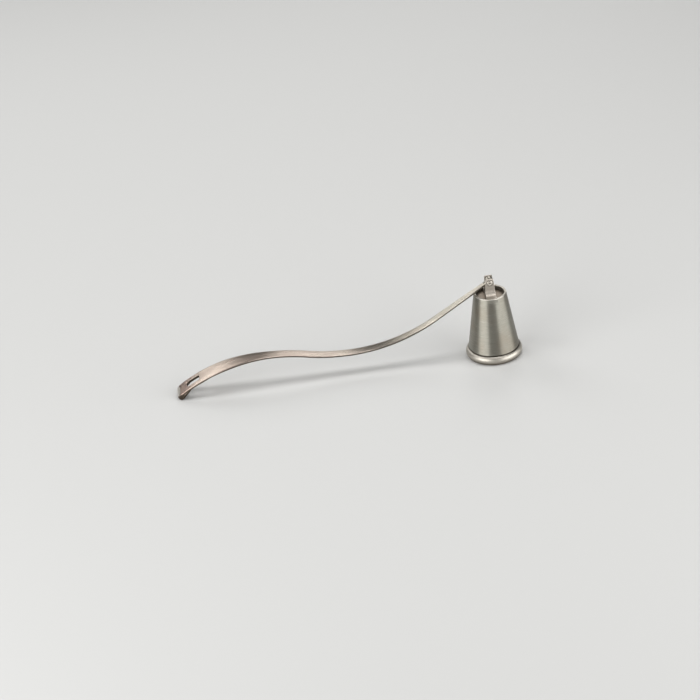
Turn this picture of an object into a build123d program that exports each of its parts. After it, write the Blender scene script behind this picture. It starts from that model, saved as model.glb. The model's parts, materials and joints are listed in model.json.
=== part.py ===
# Candle snuffer: a cone-shaped bell hinged to a long bowed handle.
# Millimetres, +Z up. The origin is under the middle of the whole length, on the table.
# The handle runs along -X from the bell, and the hinge pin lies along Y.

import os
from math import atan2, cos, radians, sin, tan

from build123d import *

os.makedirs("parts", exist_ok=True)

# Whole object
overall_length = 198.0

# Bell
mouth_diameter = 32.0
bell_height = 39.4
rim_diameter = 18.5
skirt_diameter = 28.9
wall = 1.2
rim_edge_radius = 0.35
crown_depth = 2.4
crown_thickness = 1.2
solder_gap = 0.03

# Mouth ring
ring_height = 5.2
ring_ledge = 1.3
ring_foot_width = 0.9
groove_width = 0.6
groove_depth = 0.3

# Hinge: the pin, the two ears that hold it and the knuckle that turns on it
pin_diameter = 2.2
pin_head_diameter = 3.4
pin_head_height = 0.6
running_gap = 0.05
knuckle_diameter = 5.0
knuckle_width = 2.8
knuckle_blend = 2.5
side_gap = 0.6
yoke_width = 5.8
ear_thickness = 1.1
ear_top_width = 4.4
ear_above_pin = 2.3
ear_corner_radius = 0.8
ear_edge_radius = 0.25
ear_root_radius = 3.0

# Handle in side view: straight from the hinge, down to a dip, up to a hump and down to the table
strip_thickness = 1.6
strip_edge_radius = 0.6
hinge_slope = 31.5
rim_clearance = 0.5
dip_reach = 82.5
dip_height = 12.6
hump_reach = 131.0
hump_height = 18.2
end_roll_diameter = 3.6
end_roll_blend = 1.2

# Handle in plan view: a tapered tongue at the hinge, a slow flare to the neck, a quick one to the paddle
tongue_reach = 12.0
tongue_width = 4.2
tongue_blend = 10.0
neck_reach = 122.0
neck_width = 6.0
paddle_width = 10.4
paddle_length = 19.0
paddle_corner_radius = 3.6

# Hanging slot
slot_length = 8.6
slot_width = 5.0
slot_corner_radius = 1.5
slot_from_tip = 10.0
slot_edge_radius = 0.25

# Places that follow from the sizes above
mouth_radius = mouth_diameter / 2
rim_radius = rim_diameter / 2
skirt_radius = skirt_diameter / 2
seat_radius = skirt_radius - groove_depth
groove_top = ring_height + groove_width
crown_top = bell_height - crown_depth
crown_bottom = crown_top - crown_thickness
slope = radians(hinge_slope)
pin_height = bell_height + rim_clearance + rim_radius * tan(slope) + strip_thickness / 2 / cos(slope)
ear_top = pin_height + ear_above_pin
ear_inner = knuckle_width / 2 + side_gap
ear_outer = ear_inner + ear_thickness
pin_radius = pin_diameter / 2
pin_hole_radius = pin_radius + running_gap
roll_radius = end_roll_diameter / 2
roll_drop = roll_radius - strip_thickness / 2
bell_x = overall_length / 2 - mouth_radius
handle_reach = overall_length - mouth_radius

# Side views are drawn on the handle's middle plane, with x measured from the bell's axis
side_view = Plane((bell_x, 0, 0), x_dir=(1, 0, 0), z_dir=(0, -1, 0))
end_view = Plane((bell_x, 0, 0), x_dir=(0, 1, 0), z_dir=(1, 0, 0))
plan_view = Plane((bell_x, 0, 0))
bell_axis = Axis((bell_x, 0, 0), (0, 0, 1))
pin_axis = Axis((bell_x, 0, pin_height), (0, 1, 0))
pin_place = side_view * Location((0, pin_height, 0))


def outer_radius(z):
    """Radius of the cone's outer face at height z."""
    return skirt_radius - (z - ring_height) * (skirt_radius - rim_radius) / (bell_height - ring_height)


def inner_radius(z):
    """Radius of the cone's inner face at height z."""
    return outer_radius(z) - wall


# Bell wall: a cone stepped in at the bottom to seat the ring, and notched at the rim for the yoke
with BuildPart() as bell_cone:
    with BuildSketch(side_view) as cone_section:
        with BuildLine():
            Polyline(
                (inner_radius(ring_ledge), ring_ledge),
                (seat_radius, ring_ledge),
                (seat_radius, groove_top),
                (outer_radius(groove_top), groove_top),
                (outer_radius(bell_height), bell_height),
                (inner_radius(bell_height), bell_height),
                close=True,
            )
        make_face()
        fillet(cone_section.vertices().group_by(Axis.Y)[-1], rim_edge_radius)
    revolve(axis=bell_axis)
    with BuildSketch(plan_view.offset(crown_top)):
        Rectangle(yoke_width, mouth_diameter)
    extrude(amount=crown_depth, mode=Mode.SUBTRACT)
bell_cone.part.label = "bell_cone"
export_step(bell_cone.part, "parts/bell_cone.step")

# Mouth ring: half-round outside, flat underneath, with a ledge inside that the cone stands on
ring_bore = seat_radius + solder_gap
ring_inner = inner_radius(ring_ledge)
ring_foot = ring_inner + ring_foot_width
ring_crest = (mouth_radius, ring_height / 2)
with BuildPart() as mouth_ring:
    with BuildSketch(side_view):
        with BuildLine():
            Polyline(
                (ring_bore, ring_height),
                (ring_bore, ring_ledge),
                (ring_inner, ring_ledge),
                (ring_inner, 0),
                (ring_foot, 0),
            )
            TangentArc(ring_crest, (ring_foot, 0), tangent=(0, -1))
            TangentArc(ring_crest, (ring_bore, ring_height), tangent=(0, 1))
        make_face()
    revolve(axis=bell_axis)
mouth_ring.part.label = "mouth_ring"
export_step(mouth_ring.part, "parts/mouth_ring.step")

# Crown: a disc with a tapered edge, wedged into the cone below the rim
with BuildPart() as crown_disc:
    with BuildSketch(side_view):
        with BuildLine():
            Polyline(
                (0, crown_bottom),
                (inner_radius(crown_bottom) - solder_gap, crown_bottom),
                (inner_radius(crown_top) - solder_gap, crown_top),
                (0, crown_top),
                close=True,
            )
        make_face()
    revolve(axis=bell_axis)
crown_disc.part.label = "crown_disc"
export_step(crown_disc.part, "parts/crown_disc.step")

# Yoke: a bar across the crown with its ends flush with the cone, and two ears that rise from it
with BuildPart() as yoke:
    with BuildSketch(end_view) as yoke_section:
        with BuildLine():
            Polyline(
                (-mouth_radius, crown_top),
                (mouth_radius, crown_top),
                (mouth_radius, bell_height),
                (ear_outer, bell_height),
                (ear_outer, ear_top),
                (ear_inner, ear_top),
                (ear_inner, bell_height),
                (-ear_inner, bell_height),
                (-ear_inner, ear_top),
                (-ear_outer, ear_top),
                (-ear_outer, bell_height),
                (-mouth_radius, bell_height),
                close=True,
            )
        make_face()
        roots = yoke_section.vertices().filter_by_position(Axis.Y, bell_height, bell_height).sort_by(Axis.X)
        fillet([roots[1], roots[-2]], ear_root_radius)
    extrude(amount=yoke_width / 2, both=True)
    with BuildSketch(side_view) as yoke_front:
        with BuildLine():
            Polyline(
                (-yoke_width / 2, crown_top),
                (yoke_width / 2, crown_top),
                (yoke_width / 2, bell_height),
                (ear_top_width / 2, ear_top),
                (-ear_top_width / 2, ear_top),
                (-yoke_width / 2, bell_height),
                close=True,
            )
        make_face()
        fillet(yoke_front.vertices().group_by(Axis.Y)[-1], ear_corner_radius)
    extrude(amount=mouth_radius, both=True, mode=Mode.INTERSECT)
    with BuildSketch(side_view):
        with BuildLine():
            Polyline(
                (0, crown_top),
                (outer_radius(crown_top), crown_top),
                (outer_radius(bell_height), bell_height),
                (outer_radius(bell_height), ear_top),
                (0, ear_top),
                close=True,
            )
        make_face()
    revolve(axis=bell_axis, mode=Mode.INTERSECT)
    bar_ends = yoke.edges().filter_by(GeomType.CIRCLE).filter_by_position(Axis.Z, bell_height, bell_height)
    fillet(bar_ends, rim_edge_radius)
    ear_faces = yoke.faces().filter_by(Axis.Y).sort_by(Axis.Y)[::3]
    fillet(ear_faces.edges().sort_by(Axis.Z)[2:], ear_edge_radius)
    with Locations(pin_place):
        Hole(pin_hole_radius)
yoke.part.label = "yoke"
export_step(yoke.part, "parts/yoke.step")

# Hinge pin: a rivet with a low domed head outside each ear
pin_head_radius = pin_head_diameter / 2
pin_end = ear_outer + pin_head_height
with BuildPart() as hinge_pin:
    with BuildSketch(end_view):
        with BuildLine():
            Polyline(
                (-ear_outer, pin_height + pin_head_radius),
                (-ear_outer, pin_height + pin_radius),
                (ear_outer, pin_height + pin_radius),
                (ear_outer, pin_height + pin_head_radius),
            )
            TangentArc((pin_end, pin_height), (ear_outer, pin_height + pin_head_radius), tangent=(0, 1))
            Line((pin_end, pin_height), (-pin_end, pin_height))
            TangentArc((-pin_end, pin_height), (-ear_outer, pin_height + pin_head_radius), tangent=(0, 1))
        make_face()
    revolve(axis=pin_axis)
hinge_pin.part.label = "hinge_pin"
export_step(hinge_pin.part, "parts/hinge_pin.step")

# Handle: a strip bent to its side view and cut to its plan view, with a round knuckle and a rolled end
dip_drop = pin_height - dip_height
bend_tangent = dip_reach - dip_drop / tan(slope)
straight_run = dip_drop / sin(slope) - bend_tangent
hinge_point = (0, pin_height)
bend_start = (-straight_run * cos(slope), pin_height - straight_run * sin(slope))
dip_point = (-dip_reach, dip_height)
hump_point = (-hump_reach, hump_height)
waist_point = (-(dip_reach + hump_reach) / 2, (dip_height + hump_height) / 2)
roll_point = (roll_radius - handle_reach, roll_radius)
fall_angle = 2 * atan2(hump_height - roll_drop - roll_radius, handle_reach - roll_radius - hump_reach)
fall_end = (roll_point[0] - roll_drop * sin(fall_angle), roll_point[1] + roll_drop * cos(fall_angle))
paddle_start = paddle_length - handle_reach
plan_end = -handle_reach - roll_radius / 2
neck_flare = (neck_width - tongue_width) / 2 / (neck_reach - tongue_reach)
with BuildPart() as handle:
    with BuildSketch(side_view) as strip_side:
        with BuildLine():
            Line(hinge_point, bend_start)
            TangentArc(bend_start, dip_point, tangent=(-cos(slope), -sin(slope)))
            TangentArc(dip_point, waist_point, tangent=(-1, 0))
            TangentArc(hump_point, waist_point, tangent=(1, 0))
            fall = TangentArc(hump_point, fall_end, tangent=(-1, 0))
        trace(line_width=strip_thickness)
        with Locations(hinge_point):
            Circle(knuckle_diameter / 2)
        fillet(strip_side.vertices().sort_by_distance(hinge_point)[:2], knuckle_blend)
        with Locations(roll_point):
            Circle(roll_radius)
        underside = strip_side.vertices().sort_by_distance(roll_point)[:2].sort_by(Axis.X)[-1]
        fillet(underside, end_roll_blend)
    slot_at = 1 - slot_from_tip / fall.length
    along = fall % slot_at
    slot_centre = side_view.from_local_coords(fall @ slot_at)
    slot_place = Plane(slot_centre, x_dir=(along.X, 0, along.Y), z_dir=(-along.Y, 0, along.X))
    extrude(amount=paddle_width / 2, both=True)
    with BuildSketch(plan_view) as strip_plan:
        with BuildLine():
            Polyline(
                (knuckle_diameter, 0),
                (knuckle_diameter, knuckle_width / 2),
                (0, knuckle_width / 2),
                (-tongue_reach, tongue_width / 2),
                (-neck_reach, neck_width / 2),
            )
            Spline(
                (-neck_reach, neck_width / 2),
                (paddle_start, paddle_width / 2),
                tangents=[(-1, neck_flare), (-1, 0)],
            )
            Polyline(
                (paddle_start, paddle_width / 2),
                (plan_end, paddle_width / 2),
                (plan_end, 0),
            )
            mirror(about=Plane.XZ)
        make_face()
        fillet(strip_plan.vertices().group_by(Axis.X)[0], paddle_corner_radius)
        shoulders = strip_plan.vertices().filter_by_position(Axis.X, -tongue_reach, 0)
        fillet(shoulders, tongue_blend)
    extrude(amount=handle_reach, both=True, mode=Mode.INTERSECT)
    fillet(handle.edges().filter_by(Axis.Y, reverse=True).filter_by(Axis.Z, reverse=True), strip_edge_radius)
    with BuildSketch(slot_place):
        RectangleRounded(slot_length, slot_width, slot_corner_radius)
    extrude(amount=end_roll_diameter, both=True, mode=Mode.SUBTRACT)
    slot_rims = handle.edges(Select.NEW).filter_by(Axis(slot_place.origin, slot_place.z_dir), reverse=True)
    fillet(slot_rims, slot_edge_radius)
    with Locations(pin_place):
        Hole(pin_hole_radius)
handle.part.label = "handle"
export_step(handle.part, "parts/handle.step")
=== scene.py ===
"""Candle snuffer on a pale table: the rivet, the handle's strip and hem, the finishes, light and camera."""

import json
from math import atan2, cos, radians, sin

import bpy
from mathutils import Matrix, Vector


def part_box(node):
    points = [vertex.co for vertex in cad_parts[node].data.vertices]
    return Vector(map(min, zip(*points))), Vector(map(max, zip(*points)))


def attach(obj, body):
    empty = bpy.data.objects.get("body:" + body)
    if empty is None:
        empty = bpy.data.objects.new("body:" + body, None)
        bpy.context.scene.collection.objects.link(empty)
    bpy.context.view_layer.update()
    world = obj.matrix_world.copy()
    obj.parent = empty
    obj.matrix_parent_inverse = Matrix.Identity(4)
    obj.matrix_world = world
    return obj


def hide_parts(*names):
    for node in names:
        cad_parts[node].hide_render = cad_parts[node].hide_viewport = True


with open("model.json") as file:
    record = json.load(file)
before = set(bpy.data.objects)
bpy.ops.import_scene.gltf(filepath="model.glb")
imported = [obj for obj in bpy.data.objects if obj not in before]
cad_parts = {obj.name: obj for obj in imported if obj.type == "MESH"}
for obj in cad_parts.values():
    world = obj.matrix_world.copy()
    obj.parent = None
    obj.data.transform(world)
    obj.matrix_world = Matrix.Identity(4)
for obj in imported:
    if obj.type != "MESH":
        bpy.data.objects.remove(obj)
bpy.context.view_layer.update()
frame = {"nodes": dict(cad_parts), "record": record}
scene = bpy.context.scene
scene.view_settings.view_transform = "Standard"

MM = 0.001
ring_low, ring_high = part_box("mouth_ring")
pin_low, pin_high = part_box("hinge_pin")
BELL_X = (ring_low.x + ring_high.x) / 2
BELL_FOOT = (BELL_X, 0, 0)
BELL_RIM = (BELL_X, 0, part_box("bell_cone")[1].z)
PIN_MIDDLE = (BELL_X, 0, (pin_low.z + pin_high.z) / 2)

# Rivet: the shank, and each head's rings as shares of its radius and rise, with a punched dimple in the middle
SHANK_RADIUS = 1.1 * MM
SHANK_SIDES = 64
HEAD_RADIUS = (pin_high.x - pin_low.x) / 2
HEAD_RISE = 0.6 * MM
EAR_FACE = pin_high.y - HEAD_RISE
HEAD_RINGS = (
    (1.0, 0.0),
    (1.0, 0.3),
    (0.9, 0.62),
    (0.72, 0.88),
    (0.5, 1.0),
    (0.36, 0.94),
    (0.24, 0.62),
    (0.1, 0.5),
)
SHANK_END_FACING = 0.9
RIVET_BEVEL = 0.05 * MM
RIVET_SMOOTHING = radians(50)

# Hanging slot in the paddle end: its middle and slope, and in millimetres its corner radius and corners' reach
slot_mount = next(mount for mount in frame["record"]["mounts"] if mount["name"] == "hanging_slot")
SLOT_MIDDLE = slot_mount["pos_m"]
SLOT_SLOPE = atan2(-slot_mount["axis"][0], slot_mount["axis"][2])
SLOT_CORNER = 1.5
SLOT_REACH = (2.8, 1.0)
SLOT_SOFT_EDGE = 0.12

# Half length and half width that take in the slot's rim, and the size of the punch that opens the hem
SLOT_RIM = (4.6 * MM, 2.9 * MM)
SLOT_PUNCH = (9.0 * MM, 5.4 * MM, 14.0 * MM)

# Strip: the stretches that spread, as start, end, spread and steps, and how its underside is found and shaved
STRIP_WELD = 0.001 * MM
STRIP_SPREADS = (
    (75 * MM, 45 * MM, 1.22, 2),
    (-40 * MM, -80 * MM, 0.93, 40),
    (-96 * MM, -99 * MM, 0.9, 12),
)
SHAVED_FROM, SHAVED_TO = -80 * MM, 72.5 * MM
STRIP_SHAVE = 0.36 * MM
UNDERSIDE_FACING = -0.02
HANDLE_SMOOTHING = radians(40)

# Hem behind the rolled end: the X and Z of its corners, from the roll's foot round to the roll's middle
HEM_CORNERS = (
    (-95.7 * MM, 0.64 * MM),
    (-91.1 * MM, 5.78 * MM),
    (-91.1 * MM, 6.7 * MM),
    (-96.9 * MM, 2.4 * MM),
)

# The same corners of the bar that the hem is drawn from, and the hem's width and rounding
BAR_CORNERS = ((-0.5, -0.5), (0.5, -0.5), (0.5, 0.5), (-0.5, 0.5))
HEM_WIDTH = 11.5 * MM
HEM_BEVEL = 0.45 * MM

# Steps in each rounded edge, and how strongly the bumps of the finishes show
BEVEL_SEGMENTS = 3
BUMP_STRENGTH = 0.6

# How much each ear narrows on each side as it rises
EAR_TAPER = 0.0745

# How far the handle's face leans: by its brush lines, and by its dome for each millimetre from the middle
BRUSH_LEAN = 1.6
DOME_LEAN = 0.035

# Soft boxes: azimuth and elevation in degrees, distance, width and height in metres, and power in watts
SOFT_BOXES = {
    "left_box": (-51, 17, 0.9, 0.80, 0.62, 7.7),
    "right_box": (60, 17, 0.9, 1.10, 0.62, 8.2),
    "left_back_box": (-146, 36, 0.9, 0.37, 0.46, 1.92),
    "right_back_box": (164, 36, 0.9, 0.33, 0.46, 1.4),
    "top_right_box": (90, 80, 1.0, 0.36, 0.56, 3.8),
    "top_left_box": (-90, 51, 1.0, 0.36, 0.28, 1.8),
}
WORLD_STRENGTH = 0.14
TABLE_SIZE = 8.0

# Camera at the photograph's viewing angle
AZIMUTH, ELEVATION, ROLL = radians(-3.75), radians(29.839), radians(-6.0)
FOCAL_PIXELS, FRAME_PIXELS = 3000.0, 700.0
DISTANCE = 1.71249
BELL_FOOT_PIXEL = (494.42, 352.13)


def tone(red, green, blue):
    return (red, green, blue, 1.0)


# Tones shared by the finishes, and the darkest and lightest tone of each metal
BRIGHT_EDGE = tone(0.66, 0.62, 0.56)
BROWN_TARNISH = tone(0.26, 0.215, 0.165)
# Dark tone for grime and painted shade in grooves, crevices and dimples, and for the sunk disc's darker edge
DIRT_AND_SHADE = tone(0.045, 0.037, 0.027)
BELL_TONES = (tone(0.17, 0.165, 0.138), tone(0.40, 0.385, 0.335))
RING_TONES = (tone(0.39, 0.365, 0.32), tone(0.52, 0.49, 0.435))
# Painted shade on the ring towards the table
RING_FOOT_SHADE = tone(0.12, 0.095, 0.065)
CROWN_TONES = (tone(0.20, 0.165, 0.13), tone(0.36, 0.31, 0.26))
YOKE_TONES = (tone(0.36, 0.325, 0.28), tone(0.56, 0.515, 0.46))
RIVET_TONES = (tone(0.40, 0.37, 0.32), tone(0.58, 0.54, 0.485))
HANDLE_PINKS = (tone(0.325, 0.265, 0.22), tone(0.51, 0.435, 0.375))
HANDLE_GREYS = (tone(0.305, 0.285, 0.24), tone(0.49, 0.46, 0.395))
HANDLE_PATINA = tone(0.27, 0.205, 0.17)
# Painted shade on the handle's sides
HANDLE_SIDE_SHADE = tone(0.10, 0.085, 0.065)
# Painted dark reflection on the paddle end's face
PADDLE_DARK_REFLECTION = tone(0.34, 0.235, 0.195)
# Painted shade in the hanging slot
SLOT_SHADE = tone(0.012, 0.011, 0.009)
# Painted shade under the handle's tip
TIP_UNDERSIDE_SHADE = tone(0.06, 0.048, 0.036)
# Wear and a painted highlight on the rolled end
TIP_WEAR_AND_HIGHLIGHT = tone(0.80, 0.77, 0.70)
TABLE_TONE = tone(0.54, 0.54, 0.53)
WORLD_TONE = tone(1.0, 0.99, 0.97)


class Value:
    """A socket whose arithmetic adds Math nodes."""

    def __init__(self, finish, socket):
        self.finish = finish
        self.socket = socket

    def math(self, operation, other=0.0, swapped=False):
        first, second = (other, self) if swapped else (self, other)
        return self.finish.node("ShaderNodeMath", {"operation": operation}, {0: first, 1: second})

    def __abs__(self):
        return self.math("ABSOLUTE")

    def __add__(self, other):
        return self.math("ADD", other)

    __radd__ = __add__

    def __sub__(self, other):
        return self.math("SUBTRACT", other)

    def __rsub__(self, other):
        return self.math("SUBTRACT", other, swapped=True)

    def __mul__(self, other):
        return self.math("MULTIPLY", other)

    __rmul__ = __mul__

    def __truediv__(self, other):
        return self.math("DIVIDE", other)

    def __rtruediv__(self, other):
        return self.math("DIVIDE", other, swapped=True)

    def __pow__(self, other):
        return self.math("POWER", other)


class Finish:
    """A material whose nodes are added one by one."""

    def __init__(self, name):
        self.material = bpy.data.materials.new(name)
        self.material.use_nodes = True
        self.tree = self.material.node_tree
        self.tree.nodes.clear()
        self.place = self.node("ShaderNodeTexCoord", output="Object")

    def node(self, kind, settings=None, inputs=None, output=0):
        made = self.tree.nodes.new(kind)
        for key, setting in (settings or {}).items():
            setattr(made, key, setting)
        for key, value in (inputs or {}).items():
            if isinstance(value, Value):
                self.tree.links.new(value.socket, made.inputs[key])
            else:
                made.inputs[key].default_value = value
        return Value(self, made.outputs[output]) if made.outputs else made

    def measured(self, centre, x, y, z, slope=0.0):
        """Object coordinates from a centre, in steps of x, y and z millimetres, with X turned up by a slope."""
        scale = (x * MM, y * MM, z * MM)
        inputs = {"Vector": self.place, "Location": centre, "Rotation": (0, -slope, 0), "Scale": scale}
        return self.node("ShaderNodeMapping", {"vector_type": "TEXTURE"}, inputs)

    def parts(self, vector, names="XYZ"):
        """The named parts of a vector."""
        return [self.node("ShaderNodeSeparateXYZ", inputs={0: vector}, output=name) for name in names]

    def axes(self, centre, slope=0.0):
        """X, Y and Z in millimetres from a centre."""
        return self.parts(self.measured(centre, 1, 1, 1, slope))

    def vector(self, x, y, z):
        return self.node("ShaderNodeCombineXYZ", inputs={0: x, 1: y, 2: z})

    def noise(self, vector, detail):
        inputs = {"Vector": vector, "Scale": 1.0, "Detail": detail}
        return self.node("ShaderNodeTexNoise", None, inputs, "Fac")

    def step(self, value, low, high):
        """0 below low, 1 above high, and smooth between them."""
        settings = {"interpolation_type": "SMOOTHSTEP"}
        inputs = {"Value": value, "From Min": low, "From Max": high}
        return self.node("ShaderNodeMapRange", settings, inputs)

    def band(self, value, low, high, soft):
        """1 between low and high, 0 outside them."""
        return self.step(value, low - soft, low) - self.step(value, high, high + soft)

    def mix(self, factor, first, second):
        """Colour that goes from the first to the second as the factor goes from 0 to 1."""
        return self.node("ShaderNodeMix", {"data_type": "RGBA"}, {0: factor, 6: first, 7: second}, 2)

    def bump(self, height, distance):
        inputs = {"Height": height, "Distance": distance * MM, "Strength": BUMP_STRENGTH}
        return self.node("ShaderNodeBump", None, inputs)

    def surface(self, inputs):
        shader = self.node("ShaderNodeBsdfPrincipled", None, inputs)
        self.node("ShaderNodeOutputMaterial", None, {"Surface": shader})
        return self.material

    def metal(self, colour, roughness, normal, anisotropy=0.0, turn=0.0):
        inputs = {
            "Base Color": colour,
            "Roughness": roughness,
            "Metallic": 1.0,
            "Normal": normal,
            "Anisotropic": anisotropy,
            "Anisotropic Rotation": turn,
        }
        return self.surface(inputs)


def length(first, second):
    """Length of the long side of a right-angled triangle."""
    return (first * first + second * second) ** 0.5


def turned_lines(finish, around, per_mm):
    """Fine lines that run round the bell's axis, broken along their length."""
    x, y, z = finish.axes(BELL_FOOT)
    radius = length(x, y) + 0.001
    return finish.noise(finish.vector(x / radius * around, y / radius * around, z * per_mm), 3.0)


def turned_metal(finish):
    """Colour, roughness and line height of the cone, brushed round its axis, worn at the rim and given a
    painted highlight there.
    """
    below_rim = finish.axes(BELL_RIM)[2]
    coarse = turned_lines(finish, 1.5, 0.9)
    lines = turned_lines(finish, 3.0, 3.0)
    fine = turned_lines(finish, 8.0, 9.0)
    scratches = finish.step(turned_lines(finish, 2.0, 6.0), 0.64, 0.72)
    patina = finish.step(finish.noise(finish.measured(BELL_FOOT, 11, 11, 16), 4.0), 0.42, 0.75)
    grain = lines * 0.5 + fine * 0.3 + coarse * 0.2
    colour = finish.mix(grain, *BELL_TONES)
    colour = finish.mix(patina * 0.5, colour, BROWN_TARNISH)
    colour = finish.mix(scratches * 0.35, colour, BRIGHT_EDGE)
    # Band just below the rim: wear, and a painted highlight along the rim's edge
    colour = finish.mix(finish.band(below_rim, -0.3, -0.1, 0.2) * 0.7, colour, BRIGHT_EDGE)
    return colour, 0.32 + grain * 0.14 + patina * 0.06, lines * 0.6 + fine * 0.4


def bell_finish():
    """The cone, with grime and painted shade in the groove above the ring."""
    finish = Finish("brushed_bell")
    z = finish.axes(BELL_FOOT)[2]
    colour, roughness, height = turned_metal(finish)
    groove = finish.band(z, 5.2, 5.7, 0.3)
    # Grime and painted shade in the groove
    colour = finish.mix(groove * 0.85, colour, DIRT_AND_SHADE)
    return finish.metal(colour, roughness + groove * 0.2, finish.bump(height, 0.02), 0.87, 0.25)


def ring_finish():
    """The mouth ring, with painted shade towards the table, and grime and painted shade where it meets the
    cone.
    """
    finish = Finish("satin_ring")
    z = finish.axes(BELL_FOOT)[2]
    fine = turned_lines(finish, 5.0, 7.0)
    patina = finish.noise(finish.measured(BELL_FOOT, 6, 6, 6), 3.0)
    colour = finish.mix(fine, *RING_TONES)
    # Painted shade towards the table
    colour = finish.mix((1 - finish.step(z, 0.4, 3.0)) * 0.85, colour, RING_FOOT_SHADE)
    # Grime and painted shade where the ring meets the cone
    colour = finish.mix(finish.step(z, 4.75, 5.15) * 0.85, colour, DIRT_AND_SHADE)
    return finish.metal(colour, 0.36 + fine * 0.1 + patina * 0.1, finish.bump(fine, 0.01))


def crown_finish():
    """The sunk disc, darker towards its edge."""
    finish = Finish("dull_crown")
    x, y, _ = finish.axes(BELL_FOOT)
    radius = length(x, y)
    rings = finish.noise(finish.vector(radius * 3.0, 0.0, 0.0), 2.0)
    patina = finish.noise(finish.measured(BELL_FOOT, 3, 3, 3), 4.0)
    colour = finish.mix(patina, *CROWN_TONES)
    colour = finish.mix(finish.step(radius, 5.5, 8.4) * 0.7, colour, DIRT_AND_SHADE)
    return finish.metal(colour, 0.42 + patina * 0.2, finish.bump(rings + patina, 0.03))


def yoke_finish():
    """The ears and their bar, whose ends carry on the cone's brushing."""
    finish = Finish("satin_yoke")
    x, y, z = finish.axes(PIN_MIDDLE)
    grain = finish.noise(finish.vector(x * 5.0, y * 0.7, z * 0.7), 3.0)
    patina = finish.noise(finish.measured(BELL_FOOT, 2.2, 2.2, 2.2), 3.0)
    colour = finish.mix(grain * 0.7 + patina * 0.3, *YOKE_TONES)
    # Grime and painted shade in the crevice round the rivet
    crevice = 1 - finish.step(length(x, z), 1.7, 2.2)
    colour = finish.mix(crevice * 0.35, colour, DIRT_AND_SHADE)
    worn = finish.step(abs(x) + z * EAR_TAPER, 2.0, 2.35) * finish.step(z, -6.0, -4.0)
    colour = finish.mix(worn * 0.6, colour, BRIGHT_EDGE)
    turned_colour, turned_roughness, turned_height = turned_metal(finish)
    outside = finish.step(length(x, y), 8.7, 9.0)
    colour = finish.mix(outside, colour, turned_colour)
    roughness = (0.44 + patina * 0.14) * (1 - outside) + turned_roughness * outside
    height = grain * (1 - outside) + turned_height * outside
    return finish.metal(colour, roughness, finish.bump(height, 0.01))


def rivet_finish():
    """The rivet, with grime and painted shade round its heads and in their dimples."""
    finish = Finish("peened_rivet")
    x, _, z = finish.axes(PIN_MIDDLE)
    radius = length(x, z)
    patina = finish.noise(finish.measured(PIN_MIDDLE, 1, 1, 1), 3.0)
    colour = finish.mix(patina, *RIVET_TONES)
    # Grime and painted shade round the head's edge and in the dimple
    grime_and_shade = finish.step(radius, 1.3, 1.7) * 0.4 + (1 - finish.step(radius, 0.3, 0.7)) * 0.5
    colour = finish.mix(grime_and_shade, colour, DIRT_AND_SHADE)
    return finish.metal(colour, 0.34 + patina * 0.2, finish.bump(patina, 0.05))


def slot_mask(finish):
    """1 on the wall of the hanging slot, 0 outside it."""
    along, sideways, _ = finish.axes(SLOT_MIDDLE, SLOT_SLOPE)
    past_end = (abs(along) - SLOT_REACH[0]).math("MAXIMUM", 0.0)
    past_side = (abs(sideways) - SLOT_REACH[1]).math("MAXIMUM", 0.0)
    return 1 - finish.step(length(past_end, past_side), SLOT_CORNER, SLOT_CORNER + SLOT_SOFT_EDGE)


def leaned_normal(finish, facing, lean):
    """The normal of the handle's face, leaned across its length."""
    across = finish.node("ShaderNodeVectorMath", {"operation": "CROSS_PRODUCT"}, {0: facing, 1: (1, 0, 0)})
    inputs = {0: across, 1: finish.vector(lean, lean, lean), 2: facing}
    leaned = finish.node("ShaderNodeVectorMath", {"operation": "MULTIPLY_ADD"}, inputs)
    settings = {"vector_type": "NORMAL", "convert_from": "OBJECT", "convert_to": "WORLD"}
    return finish.node("ShaderNodeVectorTransform", settings, {0: leaned})


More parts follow.
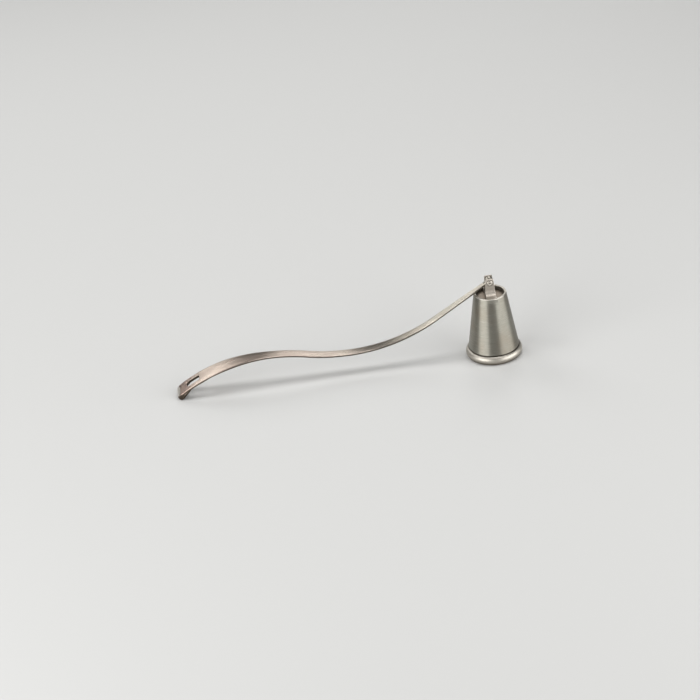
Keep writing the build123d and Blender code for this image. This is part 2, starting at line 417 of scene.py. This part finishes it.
def handle_finish():
    """The handle, pink towards the paddle and grey towards the hinge, with painted shade on its sides, in its
    slot and under its tip, a painted dark reflection on the paddle end, and a worn end with a painted
    highlight.
    """
    finish = Finish("brushed_handle")
    x, y, z = finish.axes((0, 0, 0))
    facing = finish.node("ShaderNodeTexCoord", output="Normal")
    side, up = finish.parts(facing, "YZ")
    lines = finish.noise(finish.vector(x * 0.05, y * 3.0, z * 0.2), 3.0)
    fine = finish.noise(finish.vector(x * 0.02, y * 27.0, 0.0), 2.0)
    patina = finish.step(finish.noise(finish.measured((0, 0, 0), 16, 5, 8), 4.0), 0.42, 0.75)
    grain = lines * 0.6 + fine * 0.4
    pink = finish.mix(grain, *HANDLE_PINKS)
    grey = finish.mix(grain, *HANDLE_GREYS)
    colour = finish.mix(finish.step(x, -40, 60), pink, grey)
    colour = finish.mix(patina * 0.35, colour, HANDLE_PATINA)
    # Painted dark reflection on the paddle end's face
    colour = finish.mix((1 - finish.step(x, -95, -87)) * 0.6, colour, PADDLE_DARK_REFLECTION)
    # Painted shade on the hanging slot's wall
    colour = finish.mix(slot_mask(finish) * 0.95, colour, SLOT_SHADE)
    # Painted shade on the sides
    colour = finish.mix(finish.step(abs(side), 0.7, 0.95) * 0.75, colour, HANDLE_SIDE_SHADE)
    # Painted shade under the tip
    tip = 1 - finish.step(x, -93, -88)
    colour = finish.mix(tip * (1 - finish.step(up, -0.05, 0.2)) * 0.9, colour, TIP_UNDERSIDE_SHADE)
    # Wear and a painted highlight on the rolled end
    crescent = (1 - finish.step(x + y * y * 0.03, -97.6, -97.0)) * finish.step(up, 0.0, 0.25)
    colour = finish.mix(crescent * 0.9, colour, TIP_WEAR_AND_HIGHLIGHT)
    dome = y * DOME_LEAN * (0.15 + (finish.step(x, -85, -45) - finish.step(x, 10, 45)) * 0.85)
    lean = ((fine - 0.5) * BRUSH_LEAN + dome) * finish.step(up, 0.7, 0.85)
    normal = leaned_normal(finish, facing, lean)
    return finish.metal(colour, 0.22 + grain * 0.12 + patina * 0.06, normal)


def table_finish():
    return Finish("pale_table").surface({"Base Color": TABLE_TONE, "Roughness": 0.8})


def dress(node, material):
    slots = frame["nodes"][node].data.materials
    slots.clear()
    slots.append(material)


def select_ear_end(rivet, side):
    """Select only the cap of the shank on that side."""
    bpy.ops.mesh.select_all(action="DESELECT")
    bpy.ops.object.mode_set(mode="OBJECT")
    for face in rivet.data.polygons:
        faces_out = face.normal.y * side > SHANK_END_FACING
        face.select = faces_out and face.center.y * side > EAR_FACE - RIVET_BEVEL
    bpy.ops.object.mode_set(mode="EDIT")


def select_points(piece, chosen):
    """Select only the points of the piece whose numbers are chosen, and go to edit mode."""
    bpy.ops.object.mode_set(mode="EDIT")
    bpy.ops.mesh.select_all(action="DESELECT")
    bpy.ops.object.mode_set(mode="OBJECT")
    for point in piece.data.vertices:
        point.select = point.index in chosen
    bpy.ops.object.mode_set(mode="EDIT")


def in_slot(place):
    """Whether a point belongs to the rim or wall of the hanging slot."""
    return abs(place.x - SLOT_MIDDLE[0]) < SLOT_RIM[0] and abs(place.y) < SLOT_RIM[1]


def apply_modifier(piece, name, kind, **settings):
    """Give the active piece a modifier and apply it."""
    modifier = piece.modifiers.new(name, kind)
    for key, setting in settings.items():
        setattr(modifier, key, setting)
    bpy.ops.object.modifier_apply(modifier=name)


def outward(azimuth, elevation):
    """Direction from the object; azimuth 0 is the camera's side, and positive is to its right."""
    return Vector((sin(azimuth) * cos(elevation), -cos(azimuth) * cos(elevation), sin(elevation)))


def softbox(name, azimuth, elevation, distance, width, height, power):
    """A rectangular lamp that faces the object."""
    lamp = bpy.data.lights.new(name, "AREA")
    lamp.shape = "RECTANGLE"
    lamp.size, lamp.size_y = width, height
    lamp.energy = power
    holder = bpy.data.objects.new(name, lamp)
    scene.collection.objects.link(holder)
    away = outward(radians(azimuth), radians(elevation))
    turn = away.to_track_quat("Z", "Y").to_matrix().to_4x4()
    holder.matrix_world = Matrix.Translation(away * distance) @ turn


# Finishes of the CAD pieces
dress("bell_cone", bell_finish())
dress("mouth_ring", ring_finish())
dress("crown_disc", crown_finish())
dress("yoke", yoke_finish())
handle_metal = handle_finish()
dress("handle", handle_metal)

# Rivet: each end of the shank is drawn out ring by ring into a low head
bpy.ops.object.select_all(action="DESELECT")
bpy.ops.mesh.primitive_cylinder_add(
    vertices=SHANK_SIDES,
    radius=SHANK_RADIUS,
    depth=2 * EAR_FACE,
    location=PIN_MIDDLE,
    rotation=(radians(90), 0, 0),
)
rivet = bpy.context.object
rivet.name = "rivet"
bpy.ops.object.transform_apply(location=True, rotation=True, scale=True)
bpy.ops.object.mode_set(mode="EDIT")
bpy.ops.mesh.select_mode(type="FACE")
for side in (-1, 1):
    select_ear_end(rivet, side)
    radius, rise = SHANK_RADIUS, 0.0
    for radius_share, rise_share in HEAD_RINGS:
        next_radius, next_rise = radius_share * HEAD_RADIUS, rise_share * HEAD_RISE
        lift = (0, side * (next_rise - rise), 0)
        bpy.ops.mesh.extrude_region_move(TRANSFORM_OT_translate={"value": lift})
        spread = next_radius / radius
        bpy.ops.transform.resize(value=(spread, 1, spread), center_override=PIN_MIDDLE)
        radius, rise = next_radius, next_rise
bpy.ops.mesh.select_all(action="SELECT")
bpy.ops.mesh.normals_make_consistent(inside=False)
bpy.ops.object.mode_set(mode="OBJECT")
apply_modifier(rivet, "bevel", "BEVEL", width=RIVET_BEVEL, segments=BEVEL_SEGMENTS)
bpy.ops.object.shade_smooth_by_angle(angle=RIVET_SMOOTHING)
rivet.data.materials.append(rivet_finish())
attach(rivet, "bell")
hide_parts("hinge_pin")

# Strip: a copy of the handle, drawn wider from the hinge on and shaved thinner as far as the paddle
bpy.ops.object.select_all(action="DESELECT")
strip = bpy.data.objects.new("strip", frame["nodes"]["handle"].data.copy())
scene.collection.objects.link(strip)
strip.select_set(True)
bpy.context.view_layer.objects.active = strip
bpy.ops.mesh.customdata_custom_splitnormals_clear()
bpy.ops.object.mode_set(mode="EDIT")
bpy.ops.mesh.select_mode(type="VERT")
bpy.ops.mesh.select_all(action="SELECT")
bpy.ops.mesh.remove_doubles(threshold=STRIP_WELD)
bpy.ops.object.mode_set(mode="OBJECT")
for start, end, spread, steps in STRIP_SPREADS:
    for step in range(steps):
        edge = start + (end - start) * step / steps
        beyond = [point for point in strip.data.vertices if point.co.x < edge]
        select_points(strip, {point.index for point in beyond if not in_slot(point.co)})
        bpy.ops.transform.resize(value=(1, spread ** (1 / steps), 1), center_override=(0, 0, 0))
        bpy.ops.object.mode_set(mode="OBJECT")
under_faces = [face for face in strip.data.polygons if face.normal.z < UNDERSIDE_FACING]
under = {number for face in under_faces for number in face.vertices}
shaved = {number for number in under if SHAVED_FROM < strip.data.vertices[number].co.x < SHAVED_TO}
select_points(strip, shaved)
bpy.ops.transform.translate(value=(0, 0, STRIP_SHAVE))
bpy.ops.object.mode_set(mode="OBJECT")
bpy.ops.object.shade_smooth_by_angle(angle=HANDLE_SMOOTHING)
apply_modifier(strip, "weighting", "WEIGHTED_NORMAL", keep_sharp=True)
strip.data.materials.clear()
strip.data.materials.append(handle_metal)
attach(strip, "handle")
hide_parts("handle")

# Hem: a bar whose corners are drawn to the fold behind the rolled end, with the hanging slot punched through it
bpy.ops.object.select_all(action="DESELECT")
bpy.ops.mesh.primitive_cube_add(size=1.0)
hem = bpy.context.object
hem.name = "hem"
hem.scale = (1.0, HEM_WIDTH, 1.0)
bpy.ops.object.transform_apply(location=True, rotation=True, scale=True)
for start, end in zip(BAR_CORNERS, HEM_CORNERS):
    select_points(hem, {point.index for point in hem.data.vertices if (point.co.x, point.co.z) == start})
    bpy.ops.transform.translate(value=(end[0] - start[0], 0, end[1] - start[1]))
    bpy.ops.object.mode_set(mode="OBJECT")
apply_modifier(hem, "bevel", "BEVEL", width=HEM_BEVEL, segments=BEVEL_SEGMENTS)
bpy.ops.object.shade_smooth_by_angle(angle=HANDLE_SMOOTHING)
bpy.ops.object.select_all(action="DESELECT")
bpy.ops.mesh.primitive_cube_add(size=1.0, location=SLOT_MIDDLE, rotation=(0, -SLOT_SLOPE, 0))
punch = bpy.context.object
punch.scale = SLOT_PUNCH
bpy.context.view_layer.objects.active = hem
apply_modifier(hem, "cut", "BOOLEAN", operation="DIFFERENCE", object=punch)
bpy.data.objects.remove(punch)
hem.data.materials.append(handle_metal)
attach(hem, "handle")

# Table
bpy.ops.object.select_all(action="DESELECT")
bpy.ops.mesh.primitive_plane_add(size=TABLE_SIZE)
table = bpy.context.object
table.name = "table"
table.data.materials.append(table_finish())

# Light
world = bpy.data.worlds.new("studio")
world.use_nodes = True
world.node_tree.nodes["Background"].inputs["Color"].default_value = WORLD_TONE
world.node_tree.nodes["Background"].inputs["Strength"].default_value = WORLD_STRENGTH
scene.world = world
for name, settings in SOFT_BOXES.items():
    softbox(name, *settings)

# Camera
back = outward(AZIMUTH, ELEVATION)
level = Vector((cos(AZIMUTH), sin(AZIMUTH), 0))
upright = back.cross(level)
right = cos(ROLL) * level + sin(ROLL) * upright
up = cos(ROLL) * upright - sin(ROLL) * level
across = (BELL_FOOT_PIXEL[0] - FRAME_PIXELS / 2) / FOCAL_PIXELS * DISTANCE
above = (FRAME_PIXELS / 2 - BELL_FOOT_PIXEL[1]) / FOCAL_PIXELS * DISTANCE
eye = Vector(BELL_FOOT) - across * right - above * up + DISTANCE * back
lens = bpy.data.cameras.new("camera")
lens.lens = FOCAL_PIXELS / FRAME_PIXELS * lens.sensor_width
camera = bpy.data.objects.new("camera", lens)
camera.matrix_world = Matrix.Translation(eye) @ Matrix((right, up, back)).transposed().to_4x4()
scene.collection.objects.link(camera)
scene.camera = camera
